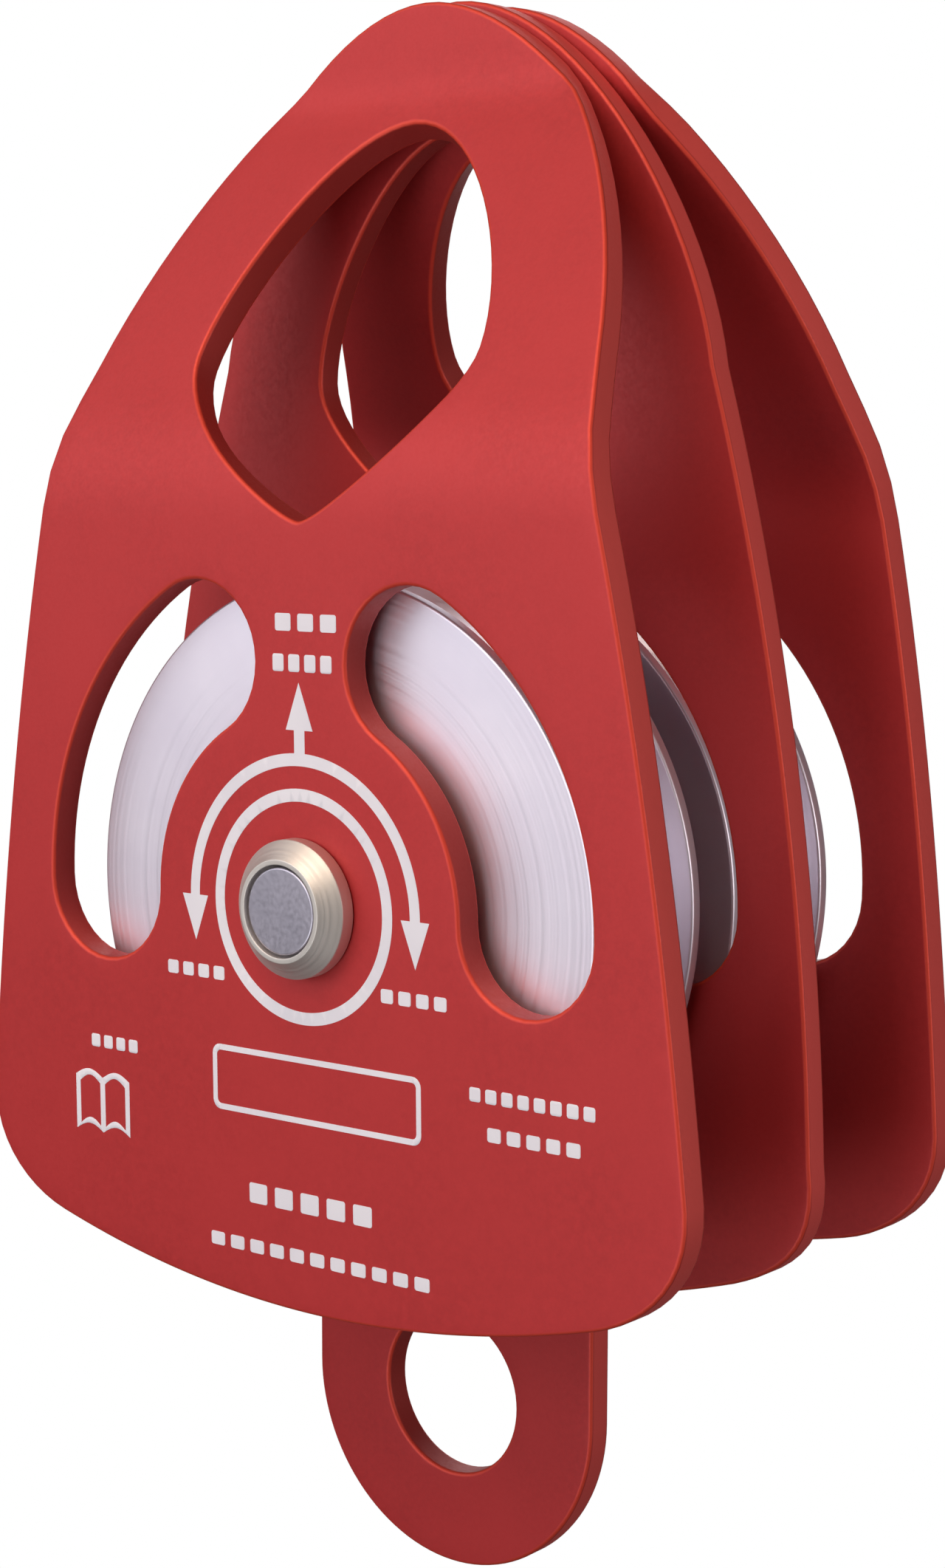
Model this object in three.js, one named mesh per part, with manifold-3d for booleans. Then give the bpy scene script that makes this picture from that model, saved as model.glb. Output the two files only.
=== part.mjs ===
// Double rope pulley with a becket: three plates on one axle, a ball-bearing sheave in each gap.
// Millimetres, +Z up. X is the width, Y runs along the axle and the front side plate is on the -Y side.
// The origin is the top of the eye, on the middle plate's centre plane, where the pulley hangs.

import * as THREE from 'three';
import * as BufferGeometryUtils from 'three/addons/utils/BufferGeometryUtils.js';
import Module from 'manifold-3d';

const wasm = await Module();
wasm.setup();

// ---- driving dimensions -------------------------------------------------------------------------

const SHEAVE_R = 37.5; // outside radius of the sheave flanges
const SHEAVE_WIDTH = 20;
const PLATE_GAP = 23; // between a side plate and the middle plate, beside the sheave
const MIDDLE_T = 3.5; // middle plate thickness
const SIDE_T = 3.8; // side plate thickness
const TOP_GAP = 0.2; // between the plates where the tops lie together

// Heights are above the axle's centre line.
const EYE_TOP = 88.2; // bearing point of the carabiner
const BECKET_Z = -64.2; // centre of the becket hole
const BECKET_HOLE_R = 10.1;
const BECKET_R = 21.7;
const BECKET_FILLET = 5;
const BECKET_ROOT = 8; // how far its tongue is let into the plate

// Half outlines, as [x, z] points. The middle plate is flat, so it is a little longer than the joggled ones.
const SIDE_OUTLINE = {
  bottom: -47.6,
  corner: [41, -41.9],
  cornerBulge: [53.6, -35],
  shoulder: [53.1, -27],
  waist: [37.75, 61],
  crown: [32.5, 84.2],
  domeX: 14.6,
  top: 102.95,
};
const MIDDLE_OUTLINE = {
  bottom: -49.3,
  corner: [41.4, -42.4],
  cornerBulge: [52.9, -36.8],
  shoulder: [51.4, -27],
  waist: [37.1, 61],
  crown: [34.3, 79.6],
  domeX: 16.5,
  top: 103.4,
};
const CORNER_PULL = [47.5, -40.1]; // control points that all the plates share
const FLANK_PULLS = [50.3, 2.3, 45.8, 31.7];

const SIDE_EYE = { wideZ: 61.8, bottom: 43.7 };
const MIDDLE_EYE = { wideZ: 59.5, bottom: 40.8 };
const EYE_HALF_WIDTH = 21.1;
const EYE_FOOT = 2.3; // half width of the rounded foot of its V
const EYE_SHOULDER_X = 10.2; // how far its dome runs flat from the centre line
const EYE_SIDE_DOWN = 7.4; // how far its sides run straight down and up from the widest point
const EYE_SIDE_UP = 9.4;

const LOWER_BEND_Z = 50.3; // the joggle starts to lean inwards here
const LOWER_BEND_R = 22;
const UPPER_BEND_R = 10;
const JOGGLE_ANGLE = THREE.MathUtils.degToRad(28.6);

// The side plates hang a little askew on the axle; positive swings the top towards +X.
const FRONT_SWING = THREE.MathUtils.degToRad(-0.75);
const REAR_SWING = THREE.MathUtils.degToRad(1.9);

const WINDOW_R = 32.1; // mean radius of the kidney windows
const WINDOW_WIDTH = 18.2;
const WINDOW_END = THREE.MathUtils.degToRad(60);

const PIN_R = 5; // axle
const PIN_STICK_OUT = 3.6; // beyond the side plates' outer faces
const PIN_CHAMFER = 0.3;
const COLLAR_R = 8;
const COLLAR_TOP_R = 5.7; // flat ring around the pin end
const COLLAR_RECESS_R = 5.3; // opening in the collar's flat ring, just wider than the pin
const COLLAR_HEIGHT = 3.9;
const COLLAR_SIDE = 1.8; // height of the collar's cylindrical side, below its bevel
const BUSH_R = 6.8;
const SPACER_R = 7.8;

const GROOVE_R = 8.4; // rope groove, for a 16 mm rope
const GROOVE_DEPTH = 10.5;
const SHEAVE_CHAMFER = 0.5;
const RIM_LAND = 0.3; // between the groove and each flange's rim
const CLIP_GROOVE_DEPTH = 1; // circlip groove in the sheave's bore

// Sealed ball bearing, 10 x 30 x 14.
const BEARING_R = 15;
const BEARING_WIDTH = 14;
const BALL_COUNT = 8;
const BALL_R = 2.38;
const BALL_PITCH_R = 10;
const INNER_LAND_R = 8.1;
const OUTER_LAND_R = 11.9;
const RACEWAY_R = 2.55;
const RACE_STEP = 1; // rebate of the outer race that holds a seal
const SEAL_T = 0.6;
const CAGE_T = 1.4;
const CAGE_HALF_WIDTH = 3.2;
const LIP_R = 13.2; // opening in the sheave's bearing shoulder

const CIRCLIP_T = 1.2;
const CIRCLIP_OUTER_R = BEARING_R + 0.8;
const CIRCLIP_INNER_R = BEARING_R - 1.4;
const CIRCLIP_HALF_GAP = THREE.MathUtils.degToRad(14);
const LUG_R = 1.5;
const LUG_HOLE_R = 0.7;
const LUG_INSET = 0.2; // from the ring's inner edge to a lug's centre
const LUG_TURN = 0.06; // from the ring's end to a lug's centre, in radians

const FIT = 0.05; // radial gap of a piece pressed or clamped on another
const RUN = 0.1; // radial gap of a piece that turns on another
const FACE = 0.15; // gap between faces that touch

const ROUND = 48; // segments round a sheave
const SMALL_ROUND = 32; // round the axle, its collars and the plates' holes
const BEARING_ROUND = 24; // round the pieces hidden inside the sheaves
const CURVE = 8; // segments of each curve in an outline
const CLEAR = 5; // how far a cutting solid runs past what it cuts

// Worked out from the above.
const HALF_SPAN = MIDDLE_T / 2 + PLATE_GAP + SIDE_T; // centre plane to a side plate's outer face
const SHEAVE_Y = MIDDLE_T / 2 + PLATE_GAP / 2; // centre plane to a sheave's own middle
const JOGGLE = PLATE_GAP - TOP_GAP;
const UPPER_BEND_Z = LOWER_BEND_Z + JOGGLE / Math.tan(JOGGLE_ANGLE);

// ---- solids -------------------------------------------------------------------------------------

function toSolid(geometry) {
  const bare = geometry.clone();
  bare.deleteAttribute('normal');
  bare.deleteAttribute('uv');
  const merged = BufferGeometryUtils.mergeVertices(bare, 1e-5);
  return new wasm.Manifold(new wasm.Mesh({
    numProp: 3,
    vertProperties: new Float32Array(merged.attributes.position.array),
    triVerts: new Uint32Array(merged.index.array),
  }));
}

function toGeometry(solid) {
  const mesh = solid.getMesh();
  const geometry = new THREE.BufferGeometry();
  geometry.setAttribute('position', new THREE.BufferAttribute(new Float32Array(mesh.vertProperties), 3));
  geometry.setIndex(new THREE.BufferAttribute(new Uint32Array(mesh.triVerts), 1));
  geometry.computeVertexNormals();
  return geometry;
}

// A closed ring about the axle (the Y axis) from a list of [radius, y] corners.
function ring(corners, segments = ROUND) {
  const profile = corners.map(([radius, y]) => new THREE.Vector2(radius, y));
  if (THREE.ShapeUtils.isClockWise(profile)) profile.reverse();
  profile.push(profile[0].clone());
  const geometry = new THREE.LatheGeometry(profile, segments);
  return toGeometry(toSolid(geometry));
}

function tube(innerR, outerR, y0, y1, segments) {
  return ring([[innerR, y0], [outerR, y0], [outerR, y1], [innerR, y1]], segments);
}

// Extrudes an outline drawn in X and Z through the range y0 to y1.
function slab(shape, y0, y1) {
  const geometry = new THREE.ExtrudeGeometry(shape, { depth: y1 - y0, bevelEnabled: false });
  geometry.rotateX(Math.PI / 2); // the outline's Y becomes Z and its depth runs to -Y
  geometry.translate(0, y1, 0);
  return toSolid(geometry);
}

// ---- outlines -----------------------------------------------------------------------------------

// Completes a right-hand half outline, drawn from the bottom centre to the top centre, by mirroring it.
function mirrored(half) {
  const right = half.getPoints(CURVE);
  const left = right.slice(1, -1).reverse().map((point) => new THREE.Vector2(-point.x, point.y));
  return new THREE.Shape([...right, ...left]);
}

// A plate: a shallow bottom arc, rounded corners, sides that lean in, a domed top.
function plateOutline({ bottom, corner, cornerBulge, shoulder, waist, crown, domeX, top }) {
  const half = new THREE.Path();
  half.moveTo(0, bottom);
  half.quadraticCurveTo(corner[0] / 2, bottom, ...corner);
  half.bezierCurveTo(...CORNER_PULL, ...cornerBulge, ...shoulder);
  half.bezierCurveTo(...FLANK_PULLS, ...waist);
  half.bezierCurveTo(...crown, domeX, top, 0, top);
  return mirrored(half);
}

// The eye is a rounded kite: wide at wideZ, a soft V below it and a dome above.
function eyeOutline({ wideZ, bottom }) {
  const half = new THREE.Path();
  half.moveTo(0, bottom);
  half.bezierCurveTo(EYE_FOOT, bottom, EYE_HALF_WIDTH, wideZ - EYE_SIDE_DOWN, EYE_HALF_WIDTH, wideZ);
  half.bezierCurveTo(EYE_HALF_WIDTH, wideZ + EYE_SIDE_UP, EYE_SHOULDER_X, EYE_TOP, 0, EYE_TOP);
  return mirrored(half);
}

// A kidney window: a slot on an arc about the axle, with full-round ends. side is 1 or -1.
function windowOutline(side) {
  const shape = new THREE.Shape();
  const outer = WINDOW_R + WINDOW_WIDTH / 2;
  const inner = WINDOW_R - WINDOW_WIDTH / 2;
  const endX = WINDOW_R * Math.cos(WINDOW_END);
  const endZ = WINDOW_R * Math.sin(WINDOW_END);
  shape.absarc(0, 0, outer, 0, WINDOW_END, false);
  shape.absarc(endX, endZ, WINDOW_WIDTH / 2, WINDOW_END, WINDOW_END + Math.PI, false);
  shape.absarc(0, 0, inner, WINDOW_END, 0, true);
  shape.absarc(WINDOW_R, 0, WINDOW_WIDTH / 2, Math.PI, 2 * Math.PI, false);
  const points = shape.getPoints(CURVE).map((point) => new THREE.Vector2(side * point.x, point.y));
  return new THREE.Shape(dropRepeats(points));
}

function dropRepeats(points) {
  const kept = points.filter((point, i) => i === 0 || point.distanceTo(points[i - 1]) > 1e-3);
  if (kept[0].distanceTo(kept.at(-1)) < 1e-3) kept.pop();
  return kept;
}

function circleOutline(x, z, radius, segments) {
  const shape = new THREE.Shape();
  shape.absarc(x, z, radius, 0, 2 * Math.PI, false);
  return new THREE.Shape(dropRepeats(shape.getPoints(segments)));
}

// The becket: a rounded tongue below the middle plate, blended into its bottom edge by fillets.
function becketOutline() {
  const { bottom, corner } = MIDDLE_OUTLINE;
  const root = bottom + BECKET_ROOT;
  const joinX = BECKET_R + BECKET_FILLET;
  const joinZ = bottom + (corner[1] - bottom) * (joinX / corner[0]) ** 2; // the plate's edge at joinX
  const shape = new THREE.Shape();
  shape.moveTo(joinX, root);
  shape.lineTo(-joinX, root);
  shape.lineTo(-joinX, joinZ);
  shape.absarc(-joinX, joinZ - BECKET_FILLET, BECKET_FILLET, Math.PI / 2, 0, true);
  shape.absarc(0, BECKET_Z, BECKET_R, Math.PI, 2 * Math.PI, false);
  shape.absarc(joinX, joinZ - BECKET_FILLET, BECKET_FILLET, Math.PI, Math.PI / 2, true);
  return new THREE.Shape(dropRepeats(shape.getPoints(14)));
}

// ---- plates -------------------------------------------------------------------------------------

function cutAll(solid, outlines) {
  const reach = HALF_SPAN + CLEAR;
  return outlines.reduce((rest, outline) => rest.subtract(slab(outline, -reach, reach)), solid);
}

const windows = [windowOutline(1), windowOutline(-1)];

function middlePlate() {
  const plate = slab(plateOutline(MIDDLE_OUTLINE), -MIDDLE_T / 2, MIDDLE_T / 2);
  const becket = slab(becketOutline(), -MIDDLE_T / 2, MIDDLE_T / 2);
  return toGeometry(cutAll(plate.add(becket), [
    ...windows,
    eyeOutline(MIDDLE_EYE),
    circleOutline(0, BECKET_Z, BECKET_HOLE_R, SMALL_ROUND),
    circleOutline(0, 0, PIN_R + FIT, SMALL_ROUND),
  ]));
}

// Centre line of the joggled sheet, as [y, z] points seen from the side, from below the plate to above it.
// Each bend is an arc tangent to the straight stretches beside it.
function joggleLine() {
  const outerY = -HALF_SPAN + SIDE_T / 2;
  const innerY = outerY + JOGGLE;
  const lean = new THREE.Vector2(Math.sin(JOGGLE_ANGLE), Math.cos(JOGGLE_ANGLE));
  const points = [{ y: outerY, z: SIDE_OUTLINE.bottom - CLEAR, angle: 0 }];
  const bend = (y, z, radius, from, to, steps) => {
    const reach = radius * Math.tan(JOGGLE_ANGLE / 2);
    const direction = from === 0 ? new THREE.Vector2(0, 1) : lean;
    const startY = y - reach * direction.x;
    const startZ = z - reach * direction.y;
    const turn = Math.sign(to - from);
    const centreY = startY + turn * radius * Math.cos(from);
    const centreZ = startZ - turn * radius * Math.sin(from);
    for (let i = 0; i <= steps; i += 1) {
      const angle = from + ((to - from) * i) / steps;
      points.push({
        y: centreY - turn * radius * Math.cos(angle),
        z: centreZ + turn * radius * Math.sin(angle),
        angle,
      });
    }
  };
  bend(outerY, LOWER_BEND_Z, LOWER_BEND_R, 0, JOGGLE_ANGLE, 8);
  bend(innerY, UPPER_BEND_Z, UPPER_BEND_R, JOGGLE_ANGLE, 0, 6);
  points.push({ y: innerY, z: SIDE_OUTLINE.top + CLEAR, angle: 0 });
  return points;
}

// The joggled sheet before it is cut to the outline: its side view extruded across the width.
function joggledSheet() {
  const line = joggleLine();
  const offset = (side) => line.map(({ y, z, angle }) => new THREE.Vector2(
    y + side * (SIDE_T / 2) * Math.cos(angle),
    z - side * (SIDE_T / 2) * Math.sin(angle),
  ));
  const section = new THREE.Shape([...offset(-1), ...offset(1).reverse()]);
  const width = 2 * (SIDE_OUTLINE.cornerBulge[0] + CLEAR);
  const geometry = new THREE.ExtrudeGeometry(section, { depth: width, bevelEnabled: false });
  geometry.rotateX(Math.PI / 2); // the section's second axis becomes Z
  geometry.rotateZ(Math.PI / 2); // and its first axis becomes Y
  geometry.translate(-width / 2, 0, 0);
  return toSolid(geometry);
}

function sidePlate() {
  const cut = slab(plateOutline(SIDE_OUTLINE), -HALF_SPAN - CLEAR, CLEAR);
  return cutAll(joggledSheet().intersect(cut), [
    ...windows,
    eyeOutline(SIDE_EYE),
    circleOutline(0, 0, BUSH_R + RUN, SMALL_ROUND),
  ]);
}

// ---- axle ---------------------------------------------------------------------------------------

function axlePin() {
  const half = HALF_SPAN + PIN_STICK_OUT;
  const profile = [
    [0, -half],
    [PIN_R - PIN_CHAMFER, -half],
    [PIN_R, -half + PIN_CHAMFER],
    [PIN_R, half - PIN_CHAMFER],
    [PIN_R - PIN_CHAMFER, half],
    [0, half],
  ].map(([radius, y]) => new THREE.Vector2(radius, y));
  return toGeometry(toSolid(new THREE.LatheGeometry(profile, SMALL_ROUND)));
}

// The collars are drawn for the rear end; the front one is turned half round about Z.
function axleCollar() {
  const base = HALF_SPAN + FACE;
  const top = HALF_SPAN + COLLAR_HEIGHT;
  return ring([
    [PIN_R + FIT, base],
    [COLLAR_R, base],
    [COLLAR_R, base + COLLAR_SIDE],
    [COLLAR_TOP_R, top],
    [COLLAR_RECESS_R, top],
    [COLLAR_RECESS_R, base + COLLAR_SIDE],
    [PIN_R + FIT, base + COLLAR_SIDE],
  ], SMALL_ROUND);
}

// Sleeve through a side plate, clamped between the collar and the spacer.
function plateBush() {
  return tube(PIN_R + FIT, BUSH_R, HALF_SPAN - SIDE_T - FACE, HALF_SPAN + FACE - FIT, SMALL_ROUND);
}

function spacer(y0, y1) {
  return tube(PIN_R + FIT, SPACER_R, y0, y1, BEARING_ROUND);
}

// ---- sheave and bearing, drawn about the sheave's own middle ------------------------------------

function sheave() {
  const half = SHEAVE_WIDTH / 2;
  const bearing = BEARING_WIDTH / 2 + FACE;
  const clip = bearing + CIRCLIP_T + 2 * FACE;
  const bore = BEARING_R + FIT;
  const rim = GROOVE_R + RIM_LAND;
  const centre = SHEAVE_R - GROOVE_DEPTH + GROOVE_R; // radius at which the groove's arc is centred
  const steps = 7;
  const groove = Array.from({ length: steps + 1 }, (unused, i) => {
    const angle = -Math.PI / 2 + (Math.PI * i) / steps;
    return [centre - GROOVE_R * Math.cos(angle), GROOVE_R * Math.sin(angle)];
  });
  return ring([
    [LIP_R, half],
    [LIP_R, bearing],
    [bore, bearing],
    [bore, -bearing],
    [bore + CLIP_GROOVE_DEPTH, -bearing],
    [bore + CLIP_GROOVE_DEPTH, -clip],
    [bore, -clip],
    [bore, -half],
    [SHEAVE_R - SHEAVE_CHAMFER, -half],
    [SHEAVE_R, -half + SHEAVE_CHAMFER],
    [SHEAVE_R, -rim],
    ...groove,
    [SHEAVE_R, rim],
    [SHEAVE_R, half - SHEAVE_CHAMFER],
    [SHEAVE_R - SHEAVE_CHAMFER, half],
  ]);
}

// Points of a raceway groove, from its +Y side to its -Y side. side is 1 for the outer race.
function raceway(side) {
  const land = side > 0 ? OUTER_LAND_R : INNER_LAND_R;
  const reach = Math.acos(Math.abs(land - BALL_PITCH_R) / RACEWAY_R);
  const steps = 4;
  return Array.from({ length: steps + 1 }, (unused, i) => {
    const angle = reach - (2 * reach * i) / steps;
    return [BALL_PITCH_R + side * RACEWAY_R * Math.cos(angle), RACEWAY_R * Math.sin(angle)];
  });
}

function outerRace() {
  const half = BEARING_WIDTH / 2;
  const recess = half - SEAL_T - 2 * FACE;
  return ring([
    [BEARING_R, -half],
    [BEARING_R, half],
    [OUTER_LAND_R + RACE_STEP, half],
    [OUTER_LAND_R + RACE_STEP, recess],
    [OUTER_LAND_R, recess],
    ...raceway(1),
    [OUTER_LAND_R, -recess],
    [OUTER_LAND_R + RACE_STEP, -recess],
    [OUTER_LAND_R + RACE_STEP, -half],
  ], BEARING_ROUND);
}

function innerRace() {
  const half = BEARING_WIDTH / 2;
  return ring([
    [PIN_R + FIT, half],
    [INNER_LAND_R, half],
    ...raceway(-1),
    [INNER_LAND_R, -half],
    [PIN_R + FIT, -half],
  ], BEARING_ROUND);
}

function ballPlace(i) {
  const angle = (2 * Math.PI * i) / BALL_COUNT;
  return new THREE.Vector3(BALL_PITCH_R * Math.cos(angle), 0, BALL_PITCH_R * Math.sin(angle));
}

function ball() {
  return toGeometry(toSolid(new THREE.SphereGeometry(BALL_R, 8, 6)));
}

// A ring with a round pocket for each ball.
function cage() {
  const inner = BALL_PITCH_R - CAGE_T / 2;
  const outer = BALL_PITCH_R + CAGE_T / 2;
  let solid = toSolid(tube(inner, outer, -CAGE_HALF_WIDTH, CAGE_HALF_WIDTH, BEARING_ROUND));
  for (let i = 0; i < BALL_COUNT; i += 1) {
    const pocket = new THREE.SphereGeometry(RACEWAY_R, 8, 4).translate(...ballPlace(i).toArray());
    solid = solid.subtract(toSolid(pocket));
  }
  return toGeometry(solid);
}

function seal() {
  return tube(INNER_LAND_R + RUN, OUTER_LAND_R + RACE_STEP - RUN, -SEAL_T / 2, SEAL_T / 2, BEARING_ROUND);
}

// An open ring with two pierced lugs, sprung into a groove of the sheave's bore.
function circlip() {
  const start = Math.PI / 2 + CIRCLIP_HALF_GAP;
  const end = 2.5 * Math.PI - CIRCLIP_HALF_GAP;
  const shape = new THREE.Shape();
  shape.absarc(0, 0, CIRCLIP_OUTER_R, start, end, false);
  shape.absarc(0, 0, CIRCLIP_INNER_R, end, start, true);
  let solid = slab(new THREE.Shape(dropRepeats(shape.getPoints(14))), -CIRCLIP_T / 2, CIRCLIP_T / 2);
  for (const angle of [start + LUG_TURN, end - LUG_TURN]) {
    const x = (CIRCLIP_INNER_R - LUG_INSET) * Math.cos(angle);
    const z = (CIRCLIP_INNER_R - LUG_INSET) * Math.sin(angle);
    solid = solid.add(slab(circleOutline(x, z, LUG_R, 10), -CIRCLIP_T / 2, CIRCLIP_T / 2));
    solid = solid.subtract(slab(circleOutline(x, z, LUG_HOLE_R, 6), -CIRCLIP_T, CIRCLIP_T));
  }
  return toGeometry(solid);
}

// ---- materials ----------------------------------------------------------------------------------

const finishes = {
  anodised: { color: 0xb23a3a, metalness: 0.6, roughness: 0.42 },
  sheave: { color: 0xc4bfc8, metalness: 0.9, roughness: 0.38 },
  stainless: { color: 0xb9b2a8, metalness: 0.95, roughness: 0.3 },
  pinSteel: { color: 0xa3a3ae, metalness: 0.9, roughness: 0.35 },
  bearingSteel: { color: 0xb5b8bd, metalness: 1, roughness: 0.15 },
  brass: { color: 0xb08a4a, metalness: 0.9, roughness: 0.35 },
  rubber: { color: 0x1c1c1e, metalness: 0, roughness: 0.8 },
  springSteel: { color: 0x3c3e42, metalness: 0.8, roughness: 0.4 },
};

// ---- assembly -----------------------------------------------------------------------------------

// Everything below is placed from the axle's centre line.
const assembly = new THREE.Group();
assembly.position.z = -EYE_TOP;

function addPiece(name, geometry, finish, parent = assembly) {
  const mesh = new THREE.Mesh(geometry, new THREE.MeshStandardMaterial(finishes[finish]));
  mesh.name = name;
  parent.add(mesh);
  return mesh;
}

addPiece('middle_plate', middlePlate(), 'anodised');
const frontPlate = sidePlate();
addPiece('front_side_plate', toGeometry(frontPlate), 'anodised').rotation.y = FRONT_SWING;
addPiece('rear_side_plate', toGeometry(frontPlate.mirror([0, 1, 0])), 'anodised').rotation.y = REAR_SWING;
addPiece('axle_pin', axlePin(), 'pinSteel');

for (const [place, turn] of [['rear', 0], ['front', Math.PI]]) {
  addPiece(`${place}_axle_collar`, axleCollar(), 'stainless').rotation.z = turn;
  addPiece(`${place}_plate_bush`, plateBush(), 'brass').rotation.z = turn;

  const inner = MIDDLE_T / 2 + FACE;
  const bearingNear = SHEAVE_Y - BEARING_WIDTH / 2 - FACE;
  const bearingFar = SHEAVE_Y + BEARING_WIDTH / 2 + FACE;
  const outer = HALF_SPAN - SIDE_T - 2 * FACE;
  addPiece(`${place}_inner_spacer`, spacer(inner, bearingNear), 'stainless').rotation.z = turn;
  addPiece(`${place}_outer_spacer`, spacer(bearingFar, outer), 'stainless').rotation.z = turn;

  // The wheel and its bearing share one group at the sheave's middle; its circlip is on the outer side.
  const wheel = new THREE.Group();
  wheel.position.y = turn === 0 ? SHEAVE_Y : -SHEAVE_Y;
  wheel.rotation.z = turn + Math.PI;
  assembly.add(wheel);

  addPiece(`${place}_sheave`, sheave(), 'sheave', wheel);
  addPiece(`${place}_bearing_outer_race`, outerRace(), 'bearingSteel', wheel);
  addPiece(`${place}_bearing_inner_race`, innerRace(), 'bearingSteel', wheel);
  addPiece(`${place}_bearing_cage`, cage(), 'brass', wheel);
  const sealY = BEARING_WIDTH / 2 - FACE - SEAL_T / 2;
  addPiece(`${place}_bearing_inner_seal`, seal(), 'rubber', wheel).position.y = sealY;
  addPiece(`${place}_bearing_outer_seal`, seal(), 'rubber', wheel).position.y = -sealY;
  const clipY = BEARING_WIDTH / 2 + CIRCLIP_T / 2 + 2 * FACE;
  addPiece(`${place}_circlip`, circlip(), 'springSteel', wheel).position.y = -clipY;
  for (let i = 0; i < BALL_COUNT; i += 1) {
    addPiece(`${place}_bearing_ball_${i + 1}`, ball(), 'bearingSteel', wheel).position.copy(ballPlace(i));
  }
}

const pulley = new THREE.Group();
pulley.add(assembly);

export default pulley;
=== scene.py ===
"""Looks of the double rope pulley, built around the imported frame. Metres, +Z up, axle along Y.

Each visible piece is rebuilt finely where its CAD node lies, rides on that node's body and stands for it.
"""

import math

import bpy
from mathutils import Matrix, Vector
from mathutils.geometry import delaunay_2d_cdt


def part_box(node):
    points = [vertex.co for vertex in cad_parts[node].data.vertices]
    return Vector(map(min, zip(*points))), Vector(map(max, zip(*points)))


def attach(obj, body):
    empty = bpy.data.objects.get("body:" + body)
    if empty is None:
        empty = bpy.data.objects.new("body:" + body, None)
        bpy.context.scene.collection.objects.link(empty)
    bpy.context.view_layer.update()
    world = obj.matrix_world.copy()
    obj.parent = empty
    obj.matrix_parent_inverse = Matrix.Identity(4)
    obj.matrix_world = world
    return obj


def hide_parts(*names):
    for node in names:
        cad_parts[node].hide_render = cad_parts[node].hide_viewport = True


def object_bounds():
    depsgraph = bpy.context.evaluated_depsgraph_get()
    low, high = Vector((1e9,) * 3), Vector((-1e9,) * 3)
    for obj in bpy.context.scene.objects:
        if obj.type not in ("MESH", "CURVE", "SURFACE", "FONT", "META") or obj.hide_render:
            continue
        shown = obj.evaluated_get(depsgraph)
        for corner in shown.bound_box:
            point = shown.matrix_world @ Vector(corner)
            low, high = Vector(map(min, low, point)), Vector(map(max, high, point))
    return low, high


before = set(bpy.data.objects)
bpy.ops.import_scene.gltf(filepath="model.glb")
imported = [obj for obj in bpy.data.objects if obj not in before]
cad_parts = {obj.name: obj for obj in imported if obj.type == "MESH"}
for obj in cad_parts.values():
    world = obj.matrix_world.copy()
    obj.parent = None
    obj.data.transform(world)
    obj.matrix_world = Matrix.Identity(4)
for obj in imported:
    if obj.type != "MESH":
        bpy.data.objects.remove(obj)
cad_low, cad_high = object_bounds()

MM = 0.001

# ---- places and sizes, from the frame -------------------------------------------------------------

pin_low, pin_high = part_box("axle_pin")
AXLE_Z = (pin_low.z + pin_high.z) / 2
PIN_R = (pin_high.z - pin_low.z) / 2
PIN_END_Y = pin_high.y

middle_low, middle_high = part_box("middle_plate")
rear_low, rear_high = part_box("rear_side_plate")
MIDDLE_T = middle_high.y - middle_low.y
OUTER_FACE_Y = rear_high.y  # outer face of a side plate; the front one's is at minus this

sheave_low, sheave_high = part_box("rear_sheave")
SHEAVE_R = (sheave_high.z - sheave_low.z) / 2
SHEAVE_HALF = (sheave_high.y - sheave_low.y) / 2
SHEAVE_Y = (sheave_high.y + sheave_low.y) / 2

EYE_TOP = -AXLE_Z  # height above the axle; the frame's origin is the top of the eye

# ---- sizes the frame doesn't state ----------------------------------------------------------------

SIDE_T = 3.8 * MM
FRONT_SWING = math.radians(-0.75)  # the side plates hang a little askew; positive swings the top towards +X
REAR_SWING = math.radians(1.9)
BECKET_R = 21.7 * MM
BECKET_Z = middle_low.z - AXLE_Z + BECKET_R
BECKET_HOLE_R = 10.1 * MM
BECKET_FILLET = 5 * MM
PLATE_EDGE = 0.5 * MM  # rounding of the plates' edges

JOGGLE = rear_high.y - rear_low.y - SIDE_T
JOGGLE_ANGLE = math.radians(28.6)
LOWER_BEND_Z = 50.3 * MM
LOWER_BEND_R = 22 * MM
UPPER_BEND_R = 10 * MM

# Half outlines of the plates, as (x, z) points in millimetres from the axle.
SIDE_OUTLINE = {
    "bottom": -47.6, "corner": (41, -41.9), "bulge": (53.6, -35), "shoulder": (53.1, -27),
    "waist": (37.75, 61), "crown": (32.5, 84.2), "dome": (14.6, 102.95), "top": 102.95,
}
MIDDLE_OUTLINE = {
    "bottom": -49.3, "corner": (41.4, -42.4), "bulge": (52.9, -36.8), "shoulder": (51.4, -27),
    "waist": (37.1, 61), "crown": (34.3, 79.6), "dome": (16.5, 103.4), "top": 103.4,
}

CORNER_PULL = (47.5, -40.1)  # control points that all the plates share
FLANK_PULLS = ((50.3, 2.3), (45.8, 31.7))

# The eye is a rounded kite, in millimetres from the axle. Its pulls say how far the control points
# of its curves lie from the bottom, from the widest point and from the top.
SIDE_EYE = {"wide_z": 61.8, "bottom_z": 43.7}
MIDDLE_EYE = {"wide_z": 59.5, "bottom_z": 40.8}
EYE_HALF_WIDTH = 21.1
BOTTOM_PULL = 2.3
PULL_DOWN = 7.4
PULL_UP = 9.4
TOP_PULL = 10.2

# A window is a slot bent round the axle, from level with it up to an angle.
WINDOW_R = 32.1 * MM
WINDOW_HALF = 9.1 * MM
WINDOW_END = math.radians(60)

FIT = 0.05 * MM  # radial gap of a piece pressed or clamped on another
BUSH_HOLE_R = 6.9 * MM
COLLAR_TOP_R = 5.9 * MM  # where the collar's bevel meets its flat top
COLLAR_SIDE = 1.8 * MM  # height of its round side, below the bevel
COLLAR_GAP = 0.32 * MM  # between its top and the pin's end

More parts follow.
